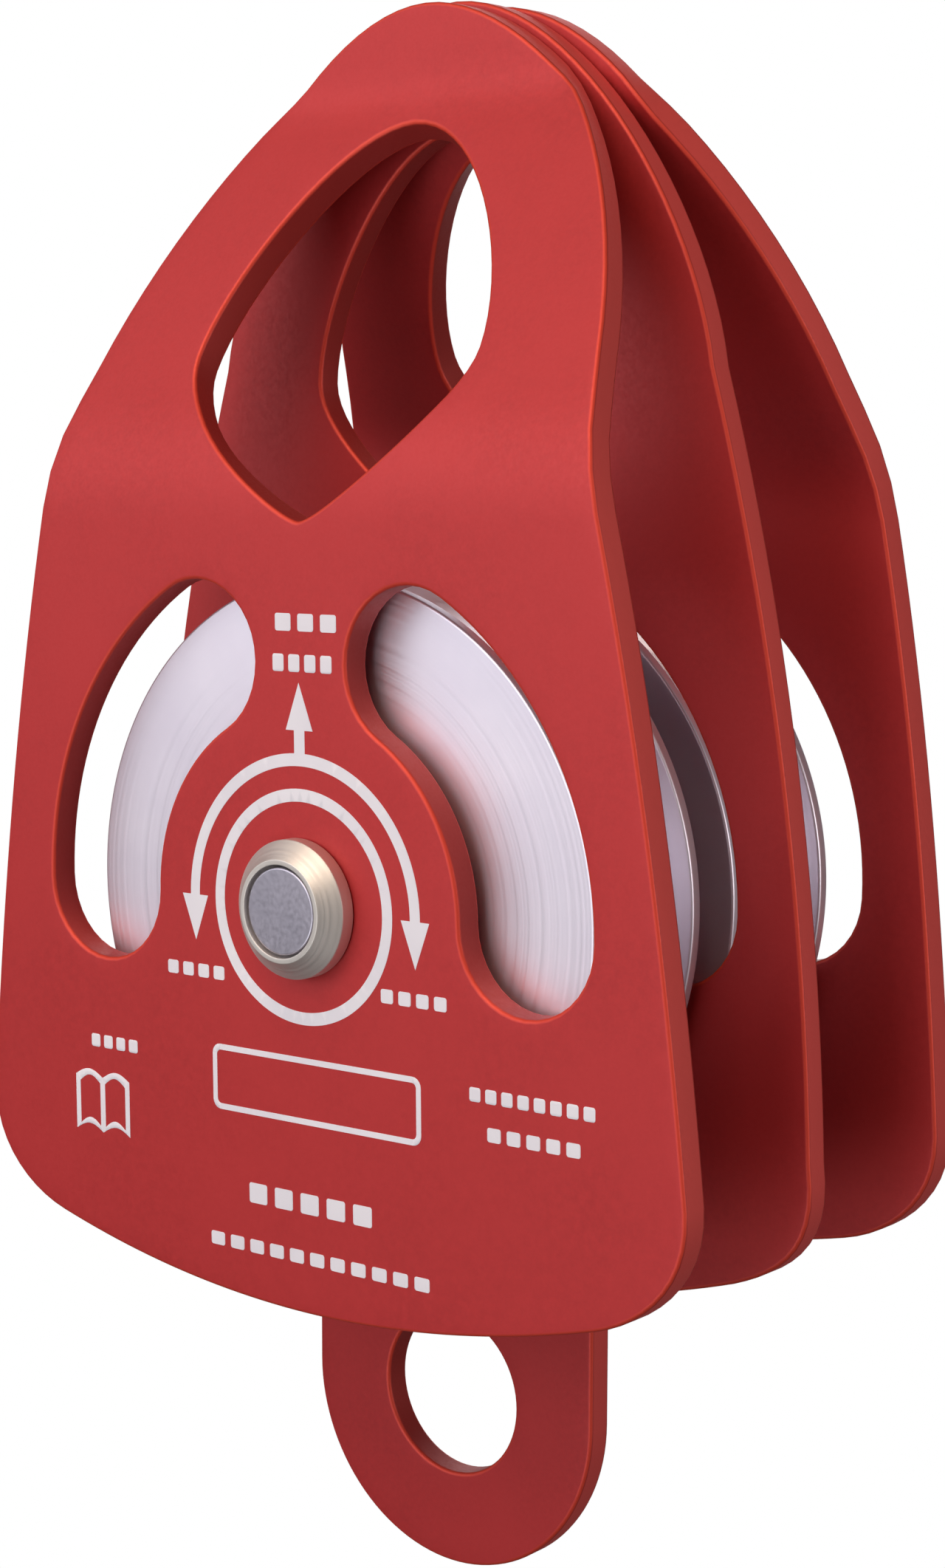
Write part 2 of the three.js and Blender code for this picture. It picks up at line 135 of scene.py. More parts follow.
GROOVE_R = 8.4 * MM
GROOVE_DEPTH = 10.5 * MM
GROOVE_REACH = math.radians(88)  # from the floor of the groove's arc to each of its ends
SHEAVE_LIP_R = 13.2 * MM  # opening in the shoulder that the bearing sits against
CLIP_GROOVE_DEPTH = 1 * MM
CLIP_GROOVE_WIDTH = 1.5 * MM

BEARING_R = 15 * MM
BEARING_HALF = 7 * MM
BALL_COUNT = 8
BALL_PITCH_R = 10 * MM
RACEWAY_R = 2.55 * MM
RACE_LAND = 1.9 * MM  # from the balls' pitch circle to the edge of a race
RACE_STEP = 1 * MM  # height of the outer race's step for a seal
RACE_RECESS = 0.9 * MM  # depth of that step
SEAL_LIP_R = 8.35 * MM  # inner edge of a seal

CIRCLIP_OUTER_R = BEARING_R + 0.8 * MM
CIRCLIP_INNER_R = BEARING_R - 1.4 * MM
CIRCLIP_END = math.radians(76)  # the ring's end, beside its gap at the top
LUG_R = 1.5 * MM
LUG_HOLE_R = 0.7 * MM
LUG_INSET = 0.2 * MM
LUG_TURN = 0.06  # from the ring's end to a lug's centre, in radians


# ---- small helpers --------------------------------------------------------------------------------

def bezier(start, control1, control2, end, steps):
    """Points of a cubic curve after its start, as (x, z) tuples."""
    points = []
    for i in range(1, steps + 1):
        t = i / steps
        weights = ((1 - t) ** 3, 3 * t * (1 - t) ** 2, 3 * t * t * (1 - t), t ** 3)
        corners = (start, control1, control2, end)
        points.append(tuple(sum(w * c[k] for w, c in zip(weights, corners)) for k in (0, 1)))
    return points


def arc(x, z, radius, start, end, steps):
    """Points on a circle, both ends included; angles in radians."""
    angles = [start + (end - start) * i / steps for i in range(steps + 1)]
    return [(x + radius * math.cos(a), z + radius * math.sin(a)) for a in angles]


def scaled(points, factor=MM):
    return [(x * factor, z * factor) for x, z in points]


def mirrored(half):
    """Closes a right-hand half outline, drawn from bottom centre to top centre."""
    return half + [(-x, z) for x, z in reversed(half[1:-1])]


def without_repeats(points):
    kept = []
    for point in points:
        if not kept or math.dist(point, kept[-1]) > 1e-6:
            kept.append(point)
    if math.dist(kept[0], kept[-1]) < 1e-6:
        kept.pop()
    return kept


def signed_area(points):
    return sum(a[0] * b[1] - b[0] * a[1] for a, b in zip(points, points[1:] + points[:1])) / 2


def inside(point, polygon):
    x, z = point
    hit = False
    for (x0, z0), (x1, z1) in zip(polygon, polygon[1:] + polygon[:1]):
        if (z0 > z) != (z1 > z) and x < x0 + (z - z0) * (x1 - x0) / (z1 - z0):
            hit = not hit
    return hit


def inset(points, distance):
    """Moves a closed outline towards the material on its left by a distance."""
    moved = []
    count = len(points)
    for i in range(count):
        a, b, c = Vector(points[i - 1]), Vector(points[i]), Vector(points[(i + 1) % count])
        before, after = (b - a).normalized(), (c - b).normalized()
        normal = (Vector((-before.y, before.x)) + Vector((-after.y, after.x))).normalized()
        lengthen = 1 / max(0.5, normal.dot(Vector((-after.y, after.x))))
        moved.append(tuple(b + normal * distance * lengthen))
    return moved


def make_object(name, vertices, faces, material, body, stands_for=(), where=None):
    """A smooth-shaded piece that rides on a body and stands for CAD nodes."""
    mesh = bpy.data.meshes.new(name)
    mesh.from_pydata([tuple(v) for v in vertices], [], faces)
    mesh.validate()
    mesh.shade_smooth()
    if where is not None:
        # tags each vertex for the painted edge highlight, the painted hole-wall shade and the painted
        # outer-wall light
        attribute = mesh.attributes.new("painted_light_zone", "FLOAT", "POINT")
        attribute.data.foreach_set("value", where)
    piece = bpy.data.objects.new(name, mesh)
    bpy.context.scene.collection.objects.link(piece)
    mesh.materials.append(material)
    weighted = piece.modifiers.new("even_shading", "WEIGHTED_NORMAL")
    weighted.weight = 100
    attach(piece, body)
    if stands_for:
        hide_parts(*stands_for)
    return piece


# ---- turned pieces --------------------------------------------------------------------------------

def rounded(corners, steps=4):
    """Rounds a closed (radius, y) profile. A corner is (radius, y) or (radius, y, rounding)."""
    points = []
    count = len(corners)
    for i in range(count):
        corner = Vector(corners[i][:2])
        rounding = corners[i][2] if len(corners[i]) > 2 else 0
        before = Vector(corners[i - 1][:2]) - corner
        after = Vector(corners[(i + 1) % count][:2]) - corner
        if rounding <= 0 or before.angle(after) > math.radians(175):
            points.append(tuple(corner))
            continue
        half_angle = before.angle(after) / 2
        reach = min(rounding / math.tan(half_angle), before.length * 0.48, after.length * 0.48)
        start = corner + before.normalized() * reach
        end = corner + after.normalized() * reach
        for k in range(steps + 1):
            t = k / steps
            points.append(tuple((1 - t) ** 2 * start + 2 * t * (1 - t) * corner + t * t * end))
    return points


def lathe(name, profile, y, body, material, stands_for, flip=False, segments=160):
    """Turns a closed (radius, y) profile about the axle. flip mirrors it along the axle."""
    if flip:
        profile = [(r, -v) for r, v in profile]
    if signed_area(profile) < 0:
        profile = profile[::-1]
    vertices = []
    for i in range(segments):
        angle = 2 * math.pi * i / segments
        for r, v in profile:
            vertices.append((r * math.cos(angle), y + v, AXLE_Z + r * math.sin(angle)))
    faces = []
    size = len(profile)
    for i in range(segments):
        here, there = i * size, ((i + 1) % segments) * size
        for k in range(size):
            following = (k + 1) % size
            if profile[k][0] < 1e-7 and profile[following][0] < 1e-7:
                continue
            faces.append((here + k, here + following, there + following, there + k))
    piece = make_object(name, vertices, faces, material, body, stands_for)
    weld = piece.modifiers.new("weld_axis", "WELD")
    weld.merge_threshold = 1e-6
    return piece


# ---- sheet pieces ---------------------------------------------------------------------------------

def flat_triangles(loops, grid):
    """Triangulates a region with holes on a grid of extra points. Returns points and triangles;
    the loops' own points come first, in order."""
    points, edges = [], []
    for loop in loops:
        first = len(points)
        points += loop
        edges += [(first + i, first + (i + 1) % len(loop)) for i in range(len(loop))]
    fixed = len(points)
    margin = grid * 0.45
    columns = range(int(min(x for x, z in loops[0]) / grid) - 1, int(max(x for x, z in loops[0]) / grid) + 2)
    rows = range(int(min(z for x, z in loops[0]) / grid) - 1, int(max(z for x, z in loops[0]) / grid) + 2)
    for row in rows:
        for column in columns:
            point = ((column + 0.5 * (row % 2)) * grid, row * grid)
            if not inside(point, loops[0]) or any(inside(point, hole) for hole in loops[1:]):
                continue
            if min(math.dist(point, p) for p in points[:fixed]) > margin:
                points.append(point)
    made = delaunay_2d_cdt([Vector(p) for p in points], edges, [], 0, 1e-9)
    order = {}
    for new, sources in enumerate(made[3]):
        for old in sources:
            order[new] = min(old, order.get(new, old))
    triangles = []
    for triangle in made[2]:
        centre = tuple(sum(made[0][v][k] for v in triangle) / 3 for k in (0, 1))
        if inside(centre, loops[0]) and not any(inside(centre, hole) for hole in loops[1:]):
            triangles.append(tuple(order[v] for v in triangle))
    return points, triangles


# Where a point of a sheet is, for its material: it paints a highlight on roundings, shade on hole walls and
# light on outer walls.
ON_FACE, ON_ROUNDING, ON_HOLE_WALL, ON_OUTER_WALL = 0.0, 0.4, 0.7, 1.0


def sheet(outline, holes, thickness, edge, place, grid=2.2 * MM, steps=3):
    """A sheet with rounded edges. place(x, t, z) puts a point; t runs through the thickness from its middle.
    Returns vertices, faces and where on the sheet each vertex is."""
    loops = [outline if signed_area(outline) > 0 else outline[::-1]]
    loops += [hole if signed_area(hole) < 0 else hole[::-1] for hole in holes]
    face_loops = [inset(loop, edge) for loop in loops]
    points, triangles = flat_triangles(face_loops, grid)
    half = thickness / 2
    count = len(points)
    vertices = [place(x, -half, z) for x, z in points] + [place(x, half, z) for x, z in points]
    where = [ON_FACE] * len(vertices)
    faces = list(triangles)
    faces += [tuple(v + count for v in reversed(triangle)) for triangle in triangles]
    first = 0
    for loop in loops:
        size = len(loop)
        rings = [[first + i for i in range(size)]]
        sections = [(edge * (1 - math.sin(a)), half - edge + edge * math.cos(a))
                    for a in (math.pi / 2 * k / steps for k in range(1, steps + 1))]
        walls = [(depth, -level) for depth, level in sections]
        walls += [(depth, level) for depth, level in reversed(sections)]
        for depth, level in walls:
            start = len(vertices)
            vertices += [place(x, level, z) for x, z in inset(loop, depth)]
            # walls are tagged for painted shade in holes and painted light outside, roundings for a painted
            # highlight
            wall = ON_HOLE_WALL if first else ON_OUTER_WALL
            where += [ON_ROUNDING if depth > 1e-9 else wall] * size
            rings.append([start + i for i in range(size)])
        rings.append([count + first + i for i in range(size)])
        for near, far in zip(rings, rings[1:]):
            faces += [(near[i], far[i], far[(i + 1) % size], near[(i + 1) % size]) for i in range(size)]
        first += size
    return vertices, [tuple(reversed(face)) for face in faces], where


def swung(x, z, swing):
    """Turns a point about the axle; positive swings what is above the axle towards +X."""
    return x * math.cos(swing) + z * math.sin(swing), z * math.cos(swing) - x * math.sin(swing)


def flat_place(y, swing=0):
    def place(x, t, z):
        x, z = swung(x, z, swing)
        return x, y + t, AXLE_Z + z

    return place


def joggled_place(side, swing):
    """Puts a sheet's point on a joggled side plate. side is -1 for the front plate and 1 for the rear one."""
    lower_start = LOWER_BEND_Z - LOWER_BEND_R * math.tan(JOGGLE_ANGLE / 2)
    lower_end = lower_start + LOWER_BEND_R * math.sin(JOGGLE_ANGLE)
    upper_bend_z = LOWER_BEND_Z + JOGGLE / math.tan(JOGGLE_ANGLE)
    upper_end = upper_bend_z + UPPER_BEND_R * math.tan(JOGGLE_ANGLE / 2)
    upper_start = upper_end - UPPER_BEND_R * math.sin(JOGGLE_ANGLE)

    def lean(z):
        """How far inwards the sheet's middle is at a height, and its angle there."""
        if z <= lower_start:
            return 0, 0
        if z >= upper_end:
            return JOGGLE, 0
        if z < lower_end:
            angle = math.asin((z - lower_start) / LOWER_BEND_R)
            return LOWER_BEND_R * (1 - math.cos(angle)), angle
        if z > upper_start:
            angle = math.asin((upper_end - z) / UPPER_BEND_R)
            return JOGGLE - UPPER_BEND_R * (1 - math.cos(angle)), angle
        rise = LOWER_BEND_R * (1 - math.cos(JOGGLE_ANGLE))
        return rise + (z - lower_end) * math.tan(JOGGLE_ANGLE), JOGGLE_ANGLE

    def place(x, t, z):
        inwards, angle = lean(z)
        y = OUTER_FACE_Y - SIDE_T / 2 - inwards - t * math.cos(angle)
        x, z = swung(x, z - t * math.sin(angle), swing)
        return x, side * y, AXLE_Z + z

    return place


# ---- outlines -------------------------------------------------------------------------------------

def plate_outline(shape, steps=22):
    bottom, corner, shoulder, waist = shape["bottom"], shape["corner"], shape["shoulder"], shape["waist"]
    low, high = (corner[0] / 3, bottom), (corner[0] * 2 / 3, bottom + (corner[1] - bottom) / 3)
    half = [(0, bottom)]
    half += bezier((0, bottom), low, high, corner, steps)
    half += bezier(corner, CORNER_PULL, shape["bulge"], shoulder, steps // 2)
    half += bezier(shoulder, *FLANK_PULLS, waist, steps)
    half += bezier(waist, shape["crown"], shape["dome"], (0, shape["top"]), steps)
    return scaled(mirrored(half))


def eye_outline(wide_z, bottom_z, steps=18):
    """A rounded kite: widest at wide_z, a soft V below it and a dome above."""
    top, side = EYE_TOP / MM, EYE_HALF_WIDTH
    half = [(0, bottom_z)]
    half += bezier((0, bottom_z), (BOTTOM_PULL, bottom_z), (side, wide_z - PULL_DOWN), (side, wide_z), steps)
    half += bezier((side, wide_z), (side, wide_z + PULL_UP), (TOP_PULL, top), (0, top), steps)
    return scaled(mirrored(half))


def window_outline(side):
    end_x, end_z = WINDOW_R * math.cos(WINDOW_END), WINDOW_R * math.sin(WINDOW_END)
    points = arc(0, 0, WINDOW_R + WINDOW_HALF, 0, WINDOW_END, 24)
    points += arc(end_x, end_z, WINDOW_HALF, WINDOW_END, WINDOW_END + math.pi, 18)
    points += arc(0, 0, WINDOW_R - WINDOW_HALF, WINDOW_END, 0, 18)
    points += arc(WINDOW_R, 0, WINDOW_HALF, math.pi, 2 * math.pi, 18)
    return without_repeats([(side * x, z) for x, z in points])


def circle(x, z, radius, steps=72):
    return without_repeats(arc(x, z, radius, 0, 2 * math.pi, steps))


def middle_outline():
    """The middle plate with the becket's tongue let into its bottom edge by two fillets."""
    bottom, (corner_x, corner_z) = MIDDLE_OUTLINE["bottom"] * MM, MIDDLE_OUTLINE["corner"]
    join_x = BECKET_R + BECKET_FILLET
    join_z = bottom + (corner_z * MM - bottom) * (join_x / (corner_x * MM)) ** 2
    right = [p for p in plate_outline(MIDDLE_OUTLINE) if p[0] > join_x or (p[0] >= 0 and p[1] > 0)]
    tongue = arc(0, BECKET_Z, BECKET_R, 1.5 * math.pi, 2 * math.pi, 28)
    fillet = arc(join_x, join_z - BECKET_FILLET, BECKET_FILLET, math.pi, math.pi / 2, 8)
    return mirrored(without_repeats(tongue + fillet + right))


# ---- materials ------------------------------------------------------------------------------------

class Nodes:
    """A short way to build one material's node tree."""

    def __init__(self, name):
        self.material = bpy.data.materials.new(name)
        self.material.use_nodes = True
        self.tree = self.material.node_tree
        self.shader = self.tree.nodes["Principled BSDF"]
        self.place = self.add("ShaderNodeTexCoord").outputs["Object"]

    def add(self, kind, **settings):
        node = self.tree.nodes.new(kind)
        for key, value in settings.items():
            if key in node.inputs:
                node.inputs[key].default_value = value
            else:
                setattr(node, key, value)
        return node

    def link(self, source, target):
        self.tree.links.new(source, target)

    def set(self, **values):
        for key, value in values.items():
            self.shader.inputs[key.replace("_", " ")].default_value = value

    def noise(self, scale, detail=2.0, roughness=0.5, vector=None):
        node = self.add("ShaderNodeTexNoise", Scale=scale, Detail=detail, Roughness=roughness)
        self.link(vector or self.place, node.inputs["Vector"])
        return node.outputs["Fac"]

    def fit(self, value, low, high, from_low=0.3, from_high=0.7):
        node = self.add("ShaderNodeMapRange")
        node.inputs["From Min"].default_value = from_low
        node.inputs["From Max"].default_value = from_high
        node.inputs["To Min"].default_value = low
        node.inputs["To Max"].default_value = high
        self.link(value, node.inputs["Value"])
        return node.outputs["Result"]

    def mix(self, factor, first, second):
        node = self.add("ShaderNodeMix", data_type="RGBA")
        self.link(factor, node.inputs[0])
        for socket, value in ((node.inputs[6], first), (node.inputs[7], second)):
            if isinstance(value, tuple):
                socket.default_value = (*value, 1)
            else:
                self.link(value, socket)
        return node.outputs[2]

    def bump(self, height, strength, distance):
        node = self.add("ShaderNodeBump", Strength=strength, Distance=distance)
        self.link(height, node.inputs["Height"])
        self.link(node.outputs["Normal"], self.shader.inputs["Normal"])

    def radius(self):
        """Distance from the axle, as a vector along X, for turning marks."""
        away = self.add("ShaderNodeVectorMath", operation="SUBTRACT")
        away.inputs[1].default_value = (0, 0, AXLE_Z)
        self.link(self.place, away.inputs[0])
        flat = self.add("ShaderNodeVectorMath", operation="MULTIPLY")
        flat.inputs[1].default_value = (1, 0, 1)
        self.link(away.outputs[0], flat.inputs[0])
        length = self.add("ShaderNodeVectorMath", operation="LENGTH")
        self.link(flat.outputs[0], length.inputs[0])
        along = self.add("ShaderNodeSeparateXYZ")
        self.link(away.outputs[0], along.inputs[0])
        rings = self.add("ShaderNodeCombineXYZ")
        self.link(length.outputs["Value"], rings.inputs["X"])
        self.link(along.outputs["Y"], rings.inputs["Y"])
        return rings.outputs[0]


def anodised(name, base, deep, rounding, hole_wall_shade, outer_wall_light):
    """Satin anodised sheet: a cloud in the dye, a fine matt grain, a painted highlight on the roundings,
    painted shade on the hole walls and painted light on the outer walls.
    """
    nodes = Nodes(name)
    nodes.set(Metallic=0.4, IOR=1.65)
    cloud = nodes.fit(nodes.noise(60, 4, 0.6), 0, 1)
    speckle = nodes.fit(nodes.noise(1100, 2, 0.7), 0, 1)
    colour = nodes.mix(cloud, base, deep)
    colour = nodes.mix(speckle, colour, base)
    where = nodes.add("ShaderNodeAttribute", attribute_name="painted_light_zone").outputs["Fac"]
    # painted highlight: the rounded edges get a lighter orange colour
    colour = nodes.mix(nodes.fit(where, 0, 1, ON_FACE, ON_ROUNDING), colour, rounding)
    # painted shade: the walls of the holes get a darker colour
    colour = nodes.mix(nodes.fit(where, 0, 1, ON_ROUNDING, ON_HOLE_WALL), colour, hole_wall_shade)
    # painted light: the outer walls get a brighter colour, as if lit from the side
    colour = nodes.mix(nodes.fit(where, 0, 1, ON_HOLE_WALL, ON_OUTER_WALL), colour, outer_wall_light)
    nodes.link(colour, nodes.shader.inputs["Base Color"])
    grain = nodes.noise(2600, 2)
    nodes.link(nodes.fit(grain, 0.48, 0.58), nodes.shader.inputs["Roughness"])
    nodes.bump(grain, 0.12, 0.00004)
    return nodes.material


def turned(name, light, dark, metallic, rough, line_scale, strength):
    """Metal with the fine rings of turning round the axle."""
    nodes = Nodes(name)
    nodes.set(Metallic=metallic)
    lines = nodes.noise(line_scale, 3, 0.6, nodes.radius())
    stain = nodes.noise(90, 3)
    nodes.link(nodes.mix(nodes.fit(stain, 0, 1), light, dark), nodes.shader.inputs["Base Color"])
    nodes.link(nodes.fit(lines, rough - 0.05, rough + 0.07), nodes.shader.inputs["Roughness"])
    nodes.bump(lines, strength, 0.00004)
    return nodes.material


def plain_finish(name, light, dark, metallic, rough, grain_scale, strength):
    """A finish with no direction: cast, blasted, moulded or printed."""
    nodes = Nodes(name)
    nodes.set(Metallic=metallic)
    grain = nodes.noise(grain_scale, 3)
    cloud = nodes.fit(nodes.noise(120, 2), 0, 1)
    nodes.link(nodes.mix(cloud, light, dark), nodes.shader.inputs["Base Color"])
    nodes.link(nodes.fit(grain, rough - 0.05, rough + 0.05), nodes.shader.inputs["Roughness"])
    nodes.bump(grain, strength, 0.00003)
    return nodes.material


# plate colours: the rounding colour is a painted highlight, the hole-wall colour painted shade and the
# outer-wall colour painted light
RED = anodised("anodised_red", base=(0.50, 0.022, 0.024), deep=(0.43, 0.016, 0.018),
               rounding=(0.66, 0.045, 0.02), hole_wall_shade=(0.38, 0.02, 0.015), outer_wall_light=(0.72, 0.075, 0.065))
SHEAVE = turned("turned_aluminium", (0.93, 0.89, 1.0), (0.87, 0.83, 0.95), 0.88, 0.42, 2500, 0.15)
STAINLESS = turned("turned_stainless", (0.72, 0.68, 0.64), (0.62, 0.59, 0.56), 1.0, 0.5, 3500, 0.25)
PIN = plain_finish("ground_steel", (0.60, 0.57, 0.66), (0.53, 0.51, 0.60), 1.0, 0.38, 1800, 0.1)
RACE = turned("bearing_steel", (0.62, 0.62, 0.64), (0.58, 0.58, 0.60), 1.0, 0.16, 5000, 0.05)
BALL = plain_finish("ball_steel", (0.66, 0.66, 0.68), (0.60, 0.60, 0.62), 1.0, 0.1, 3000, 0.02)
BRONZE = turned("bronze", (0.55, 0.38, 0.17), (0.46, 0.31, 0.14), 1.0, 0.34, 3000, 0.15)
RUBBER = plain_finish("seal_rubber", (0.022, 0.022, 0.024), (0.035, 0.034, 0.034), 0.0, 0.62, 1500, 0.2)
SPRING = plain_finish("black_spring_steel", (0.055, 0.055, 0.06), (0.035, 0.035, 0.04), 0.7, 0.4, 2200, 0.15)
INK = plain_finish("white_print", (0.78, 0.76, 0.82), (0.72, 0.70, 0.77), 0.0, 0.6, 2400, 0.1)


# ---- plates ---------------------------------------------------------------------------------------

def build_plates():
    windows = [window_outline(1), window_outline(-1)]
    becket_hole = circle(0, BECKET_Z, BECKET_HOLE_R)
    middle_holes = windows + [eye_outline(**MIDDLE_EYE), becket_hole, circle(0, 0, PIN_R)]
    vertices, faces, where = sheet(middle_outline(), middle_holes, MIDDLE_T, PLATE_EDGE, flat_place(0))
    make_object("middle_plate_sheet", vertices, faces, RED, "frame", ["middle_plate"], where)
    side_holes = windows + [eye_outline(**SIDE_EYE), circle(0, 0, BUSH_HOLE_R)]
    for place, side, swing in (("front", -1, FRONT_SWING), ("rear", 1, REAR_SWING)):
        vertices, faces, where = sheet(plate_outline(SIDE_OUTLINE), side_holes, SIDE_T, PLATE_EDGE,
                                       joggled_place(side, swing))
        if side < 0:
            faces = [tuple(reversed(face)) for face in faces]
        node = f"{place}_side_plate"
        make_object(f"{node}_sheet", vertices, faces, RED, node, [node], where)


# ---- axle -----------------------------------------------------------------------------------------

def build_axle():
    soft = 0.25 * MM
    end = PIN_END_Y
    lathe("axle_pin_bar", rounded([(0, -end), (PIN_R, -end, soft), (PIN_R, end, soft), (0, end)]), 0,
          "frame", PIN, ["axle_pin"], segments=96)
    low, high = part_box("rear_axle_collar")
    radius = (high.z - low.z) / 2
    height = high.y - low.y
    bore, recess = PIN_R + FIT, PIN_R + COLLAR_GAP
    collar = rounded([
        (bore, 0),
        (radius, 0, 0.15 * MM),
        (radius, COLLAR_SIDE, 0.2 * MM),
        (COLLAR_TOP_R, height, 0.15 * MM),
        (recess, height, 0.1 * MM),
        (recess, COLLAR_SIDE),
        (bore, COLLAR_SIDE),
    ])
    for place, side in (("front", -1), ("rear", 1)):
        lathe(f"{place}_collar_ring", collar, side * low.y, "frame", STAINLESS, [f"{place}_axle_collar"],
              flip=side < 0)
        sleeve(f"{place}_plate_bush", BRONZE)
        sleeve(f"{place}_inner_spacer", STAINLESS)
        sleeve(f"{place}_outer_spacer", STAINLESS)


def sleeve(node, material):
    """A plain tube on the axle between the ends of its CAD node."""
    low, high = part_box(node)
    bore, radius = PIN_R + FIT, (high.z - low.z) / 2
    half, soft = (high.y - low.y) / 2, 0.2 * MM
    profile = rounded([(bore, -half, soft), (radius, -half, soft), (radius, half, soft), (bore, half, soft)])
    lathe(f"{node}_tube", profile, (low.y + high.y) / 2, "frame", material, [node], segments=96)


# ---- sheaves and bearings -------------------------------------------------------------------------

def sheave_profile():
    """Drawn about the sheave's own middle, with the circlip's groove on the minus side."""
    half, bearing = SHEAVE_HALF, BEARING_HALF + 0.15 * MM
    clip = bearing + CLIP_GROOVE_WIDTH
    bore = BEARING_R + FIT
    centre = SHEAVE_R - GROOVE_DEPTH + GROOVE_R
    soft = 0.35 * MM
    corners = [
        (SHEAVE_LIP_R, half, soft),
        (SHEAVE_LIP_R, bearing),
        (bore, bearing),
        (bore, -bearing),
        (bore + CLIP_GROOVE_DEPTH, -bearing),
        (bore + CLIP_GROOVE_DEPTH, -clip),
        (bore, -clip, soft / 3),
        (bore, -half, soft),
        (SHEAVE_R, -half, soft),
        (SHEAVE_R, -GROOVE_R, soft),
    ]
    angles = [GROOVE_REACH * (i / 12 - 1) for i in range(25)]
    corners += [(centre - GROOVE_R * math.cos(a), GROOVE_R * math.sin(a)) for a in angles]
    corners += [(SHEAVE_R, GROOVE_R, soft), (SHEAVE_R, half, soft)]
    return rounded(corners)


def raceway(sign):
    """A race's groove for the balls, from its plus side to its minus side. sign is 1 for the outer race."""
    reach = math.acos(RACE_LAND / RACEWAY_R)
    angles = [reach - 2 * reach * i / 12 for i in range(13)]
    return [(BALL_PITCH_R + sign * RACEWAY_R * math.cos(a), RACEWAY_R * math.sin(a)) for a in angles]


def outer_race_profile():
    half, recess = BEARING_HALF, BEARING_HALF - RACE_RECESS
    land = BALL_PITCH_R + RACE_LAND
    step = land + RACE_STEP
    soft = 0.3 * MM
    return rounded([
        (BEARING_R, -half, soft),
        (BEARING_R, half, soft),
        (step, half, soft / 3),
        (step, recess),
        (land, recess),
        *raceway(1),
        (land, -recess),
        (step, -recess),
        (step, -half, soft / 3),
    ])


def inner_race_profile():
    half, bore, land = BEARING_HALF, PIN_R + FIT, BALL_PITCH_R - RACE_LAND
    soft = 0.3 * MM
    return rounded([
        (bore, half, soft),
        (land, half, soft),
        *raceway(-1),
        (land, -half, soft),
        (bore, -half, soft),
    ])


def build_wheel(place, side):
    """One sheave with its bearing. side is -1 in front; the circlip is on the side plate's side."""
    y = side * SHEAVE_Y
    body = f"{place}_sheave"
    lathe(f"{place}_sheave_wheel", sheave_profile(), y, body, SHEAVE, [f"{place}_sheave"],
          flip=side > 0, segments=224)
    lathe(f"{place}_outer_race_ring", outer_race_profile(), y, body, RACE, [f"{place}_bearing_outer_race"],
          segments=96)
    lathe(f"{place}_inner_race_ring", inner_race_profile(), y, "frame", RACE, [f"{place}_bearing_inner_race"],
          segments=96)
    for seal in ("inner", "outer"):
        build_seal(f"{place}_bearing_{seal}_seal", y, body)
    build_circlip(f"{place}_circlip", body)
    for i in range(1, BALL_COUNT + 1):
        build_ball(f"{place}_bearing_ball_{i}", f"{place}_ball_set")
    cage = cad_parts[f"{place}_bearing_cage"]
    cage.data.materials.clear()
    cage.data.materials.append(BRONZE)


def build_seal(node, wheel_y, body):
    """A rubber disc, thick at its rim and its lip and hollow between them."""
    low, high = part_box(node)
    middle = (low.y + high.y) / 2
    out = 1 if middle > wheel_y else -1
    half = (high.y - low.y) / 2
    inner, outer = SEAL_LIP_R, (high.z - low.z) / 2
    hollow, soft = half * 0.4, 0.1 * MM
    profile = rounded([
        (inner, -half, soft),
        (outer, -half),
        (outer, half, soft),
        (outer - 1 * MM, half, soft),
        (outer - 1.2 * MM, hollow, soft),
        (inner + 1.4 * MM, hollow, soft),
        (inner + 1 * MM, half, soft),
        (inner, half, soft),
    ])
    lathe(f"{node}_disc", profile, middle, body, RUBBER, [node], flip=out < 0, segments=96)


def build_ball(node, body):
    low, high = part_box(node)
    centre = (low + high) / 2
    radius = (high.z - low.z) / 2
    rings, sectors = 16, 24
    vertices = [centre + Vector((0, 0, -radius))]
    for i in range(1, rings):
        tilt = math.pi * i / rings - math.pi / 2
        for k in range(sectors):
            turn = 2 * math.pi * k / sectors
            level = math.cos(tilt)
            direction = Vector((level * math.cos(turn), level * math.sin(turn), math.sin(tilt)))
            vertices.append(centre + radius * direction)
    vertices.append(centre + Vector((0, 0, radius)))
    last = len(vertices) - 1
    faces = []
    for k in range(sectors):
        following = (k + 1) % sectors
        faces.append((0, 1 + following, 1 + k))
        faces.append((last, last - sectors + k, last - sectors + following))
        for i in range(rings - 2):
            row = 1 + i * sectors
            faces.append((row + k, row + following, row + sectors + following, row + sectors + k))
    make_object(f"{node}_sphere", vertices, faces, BALL, body, [node])


